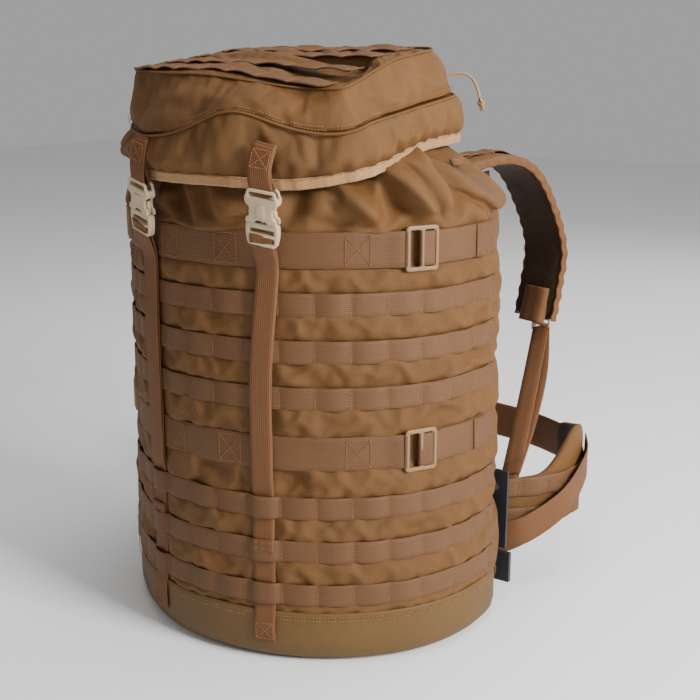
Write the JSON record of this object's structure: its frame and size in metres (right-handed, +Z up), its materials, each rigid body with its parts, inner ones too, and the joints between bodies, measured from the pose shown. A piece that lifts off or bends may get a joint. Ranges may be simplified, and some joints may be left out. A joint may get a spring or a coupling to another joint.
{
  "type": "hunting backpack",
  "caption": "Large framed hunting backpack with a hinged top lid, rows of attachment webbing, compression straps, padded shoulder harness and hip belt.",
  "frame": {"origin": "on the ground under the middle of the bag's plan", "axes": "+Z up, -Y towards the front of the bag, +Y towards the wearer, +X to the side called right in the node names"},
  "size_m": [0.536, 0.5919, 0.6582],
  "materials": {
    "bag_fabric": "woven nylon, coyote brown",
    "webbing_tan": "woven webbing, pinkish tan",
    "webbing_brown": "woven webbing, reddish brown",
    "base_olive": "coated fabric, olive tan",
    "binding_tan": "knitted elastic binding",
    "buckle_beige": "moulded acetal",
    "lock_tan": "moulded acetal",
    "mesh_dark": "spacer mesh",
    "sheet_grey": "polyethylene sheet",
    "stay_alloy": "satin",
    "rivet_steel": "burnished",
    "zip_dark": "coil zip and tape",
    "cord_tan": "braided cord"
  },
  "bodies": {
    "pack": {"main_bag": "bag_fabric", "base_panel": "base_olive", "webbing_rows_lower": "webbing_tan", "webbing_rows_upper": "webbing_tan", "lower_band": "webbing_tan", "upper_band": "webbing_tan", "frame_sheet": "sheet_grey", "frame_stay_right": "stay_alloy", "frame_stay_left": "stay_alloy", "lumbar_plate": "sheet_grey", "lumbar_rivets": "rivet_steel", "lower_bar": "sheet_grey", "back_pad": "mesh_dark", "lumbar_pad": "mesh_dark", "lower_strap_right": "webbing_tan", "upper_strap_right": "webbing_tan", "front_strap_right": "webbing_brown", "strap_tail_right": "webbing_brown", "lower_webbing_right": "webbing_brown", "lower_strap_left": "webbing_tan", "upper_strap_left": "webbing_tan", "front_strap_left": "webbing_brown", "strap_tail_left": "webbing_brown", "lower_webbing_left": "webbing_brown"},
    "lid": {"lid_skirt": "bag_fabric", "hem_binding": "binding_tan", "lid_pocket": "bag_fabric", "lid_webbing_rows": "webbing_tan", "zip_track": "zip_dark", "buckle_socket_right": "buckle_beige", "lid_tab_right": "webbing_brown", "buckle_socket_left": "buckle_beige", "lid_tab_left": "webbing_brown"},
    "zip_pull": {"zip_slider": "zip_dark", "zip_cord": "cord_tan", "zip_knot": "cord_tan"},
    "plug_right": {"buckle_plug_right": "buckle_beige"},
    "lower_lock_body_right": {"lower_lock_right": "lock_tan"},
    "upper_lock_body_right": {"upper_lock_right": "lock_tan"},
    "harness_right": {"shoulder_pad_right": "bag_fabric", "load_lifter_right": "webbing_brown", "strap_buckle_right": "buckle_beige", "sternum_strap_right": "webbing_brown", "sternum_clip_right": "lock_tan"},
    "wing_right": {"hip_wing_right": "bag_fabric", "wing_webbing_right": "webbing_tan", "waist_strap_right": "webbing_brown", "waist_clasp_right": "lock_tan"},
    "plug_left": {"buckle_plug_left": "buckle_beige"},
    "lower_lock_body_left": {"lower_lock_left": "lock_tan"},
    "upper_lock_body_left": {"upper_lock_left": "lock_tan"},
    "harness_left": {"shoulder_pad_left": "bag_fabric", "load_lifter_left": "webbing_brown", "strap_buckle_left": "buckle_beige", "sternum_strap_left": "webbing_brown", "sternum_clip_left": "lock_tan"},
    "wing_left": {"hip_wing_left": "bag_fabric", "wing_webbing_left": "webbing_tan", "waist_strap_left": "webbing_brown", "waist_clasp_left": "lock_tan"}
  },
  "joints": [
    {"name": "lid_hinge", "type": "hinge", "parent": "pack", "child": "lid", "pos_m": [0, 0.128, 0.559], "axis": [-1, 0, 0], "range_deg": [0, 95]},
    {"name": "zip_slide", "type": "slide", "parent": "lid", "child": "zip_pull", "axis": [1, 0, 0], "range_m": [-0.26, 0]},
    {"name": "buckle_release_right", "type": "slide", "parent": "pack", "child": "plug_right", "axis": [-0.0446, 0.21, -0.9767], "range_m": [0, 0.018]},
    {"name": "lower_lock_tilt_right", "type": "hinge", "parent": "pack", "child": "lower_lock_body_right", "pos_m": [0.20301, -0.04548, 0.244], "axis": [0, 0, -1], "range_deg": [0, 35]},
    {"name": "upper_lock_tilt_right", "type": "hinge", "parent": "pack", "child": "upper_lock_body_right", "pos_m": [0.20048, -0.04513, 0.461], "axis": [0, 0, -1], "range_deg": [0, 35]},
    {"name": "harness_swing_right", "type": "hinge", "parent": "pack", "child": "harness_right", "pos_m": [0.085, 0.19064, 0.47], "axis": [0.9563, -0.2924, 0], "range_deg": [-2, 15]},
    {"name": "wing_swing_right", "type": "hinge", "parent": "pack", "child": "wing_right", "pos_m": [0.11129, 0.18208, 0.08], "axis": [0, 0, -1], "range_deg": [0, 13]},
    {"name": "buckle_release_left", "type": "slide", "parent": "pack", "child": "plug_left", "axis": [0.0446, 0.21, -0.9767], "range_m": [0, 0.018]},
    {"name": "lower_lock_tilt_left", "type": "hinge", "parent": "pack", "child": "lower_lock_body_left", "pos_m": [-0.20301, -0.04548, 0.244], "axis": [0, 0, 1], "range_deg": [0, 35]},
    {"name": "upper_lock_tilt_left", "type": "hinge", "parent": "pack", "child": "upper_lock_body_left", "pos_m": [-0.20048, -0.04513, 0.461], "axis": [0, 0, 1], "range_deg": [0, 35]},
    {"name": "harness_swing_left", "type": "hinge", "parent": "pack", "child": "harness_left", "pos_m": [-0.085, 0.19064, 0.47], "axis": [0.9563, 0.2924, 0], "range_deg": [-2, 15]},
    {"name": "wing_swing_left", "type": "hinge", "parent": "pack", "child": "wing_left", "pos_m": [-0.11129, 0.18208, 0.08], "axis": [0, 0, 1], "range_deg": [0, 13]}
  ]
}
